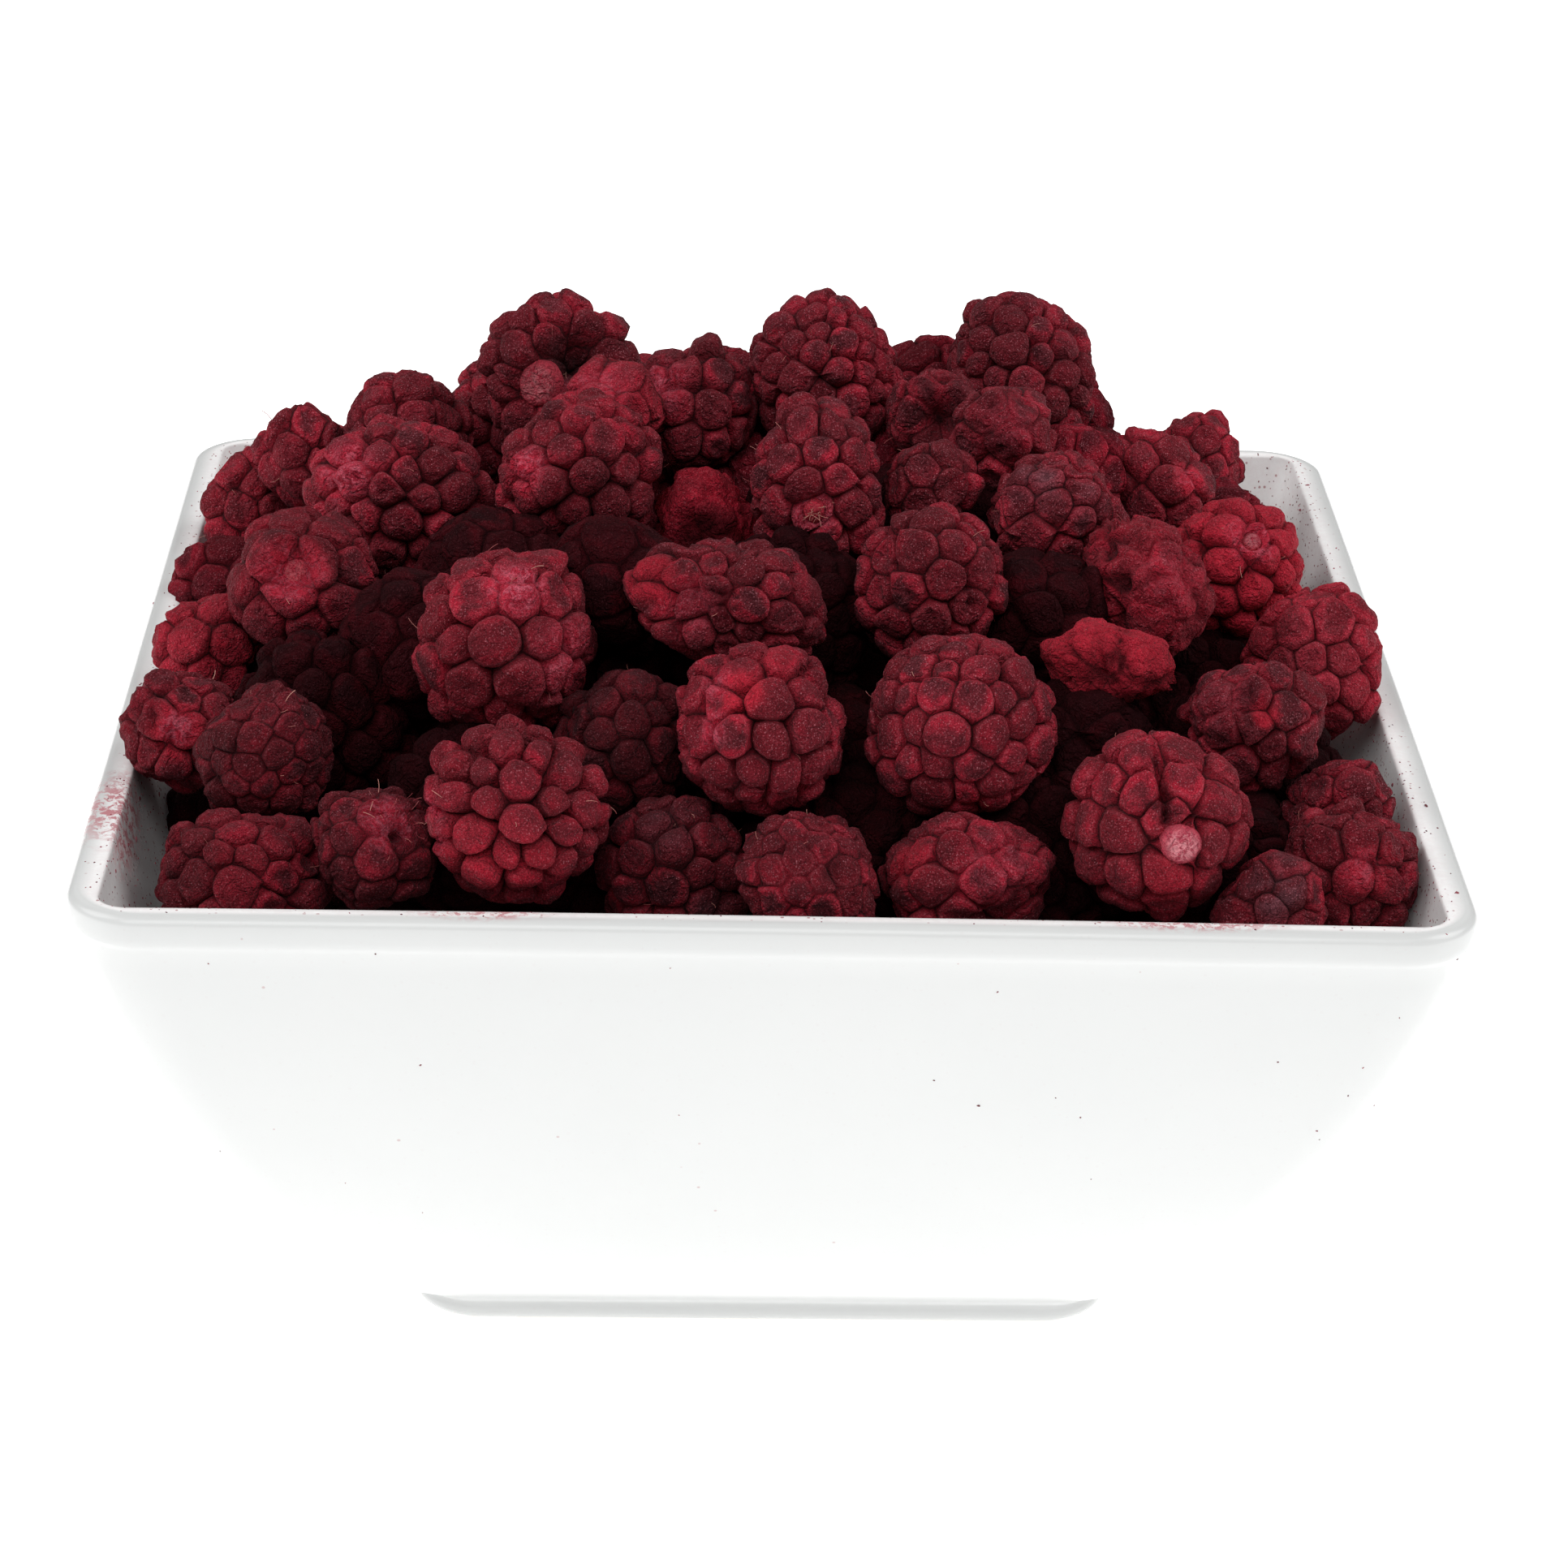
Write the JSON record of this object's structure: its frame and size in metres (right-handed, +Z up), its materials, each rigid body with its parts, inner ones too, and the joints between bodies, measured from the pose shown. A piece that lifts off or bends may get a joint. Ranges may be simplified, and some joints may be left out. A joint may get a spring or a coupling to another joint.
{
  "type": "bowl of freeze-dried boysenberries",
  "caption": "Square white porcelain bowl on a low foot, heaped with whole freeze-dried boysenberries of bumpy dark red drupelets.",
  "frame": {"origin": "centre of the bowl's base, on the table", "axes": "+Z up, +X to the right as seen from the front, +Y away from the viewer; the bowl's sides lie along X and Y"},
  "size_m": [0.15, 0.15, 0.1054],
  "materials": {
    "porcelain": "white gloss glaze",
    "berry": "matte, velvety dried fruit skin, dark red"
  },
  "bodies": {
    "root": {"bowl": "porcelain", "berry_front_1": "berry", "berry_front_2": "berry", "berry_front_3": "berry", "berry_front_4": "berry", "berry_front_5": "berry", "berry_front_6": "berry", "berry_front_7": "berry", "berry_front_8": "berry", "berry_front_9": "berry", "berry_second_1": "berry", "berry_second_2": "berry", "berry_second_3": "berry", "berry_second_4": "berry", "berry_second_5": "berry", "berry_second_6": "berry", "berry_second_7": "berry", "berry_third_1": "berry", "berry_third_2": "berry", "berry_third_3": "berry", "berry_third_4": "berry", "berry_third_5": "berry", "berry_third_6": "berry", "berry_third_7": "berry", "berry_third_8": "berry", "berry_third_9": "berry", "berry_fourth_1": "berry", "berry_fourth_2": "berry", "berry_fourth_3": "berry", "berry_fourth_4": "berry", "berry_fourth_5": "berry", "berry_fourth_6": "berry", "berry_fourth_7": "berry", "berry_fourth_8": "berry", "berry_fourth_9": "berry", "berry_top_1": "berry", "berry_top_2": "berry", "berry_top_3": "berry", "berry_top_4": "berry", "berry_top_5": "berry", "berry_top_6": "berry", "berry_top_7": "berry", "berry_top_8": "berry", "berry_rear_1": "berry", "berry_rear_2": "berry", "berry_rear_3": "berry", "berry_rear_4": "berry", "berry_rear_5": "berry", "berry_rear_6": "berry", "berry_rear_7": "berry", "berry_rear_8": "berry", "berry_rear_9": "berry", "berry_rear_10": "berry", "berry_rear_11": "berry", "berry_rear_12": "berry", "berries_under_1": "berry", "berries_under_2": "berry", "berries_under_3": "berry", "berries_under_4": "berry", "berries_under_5": "berry"}
  },
  "joints": []
}
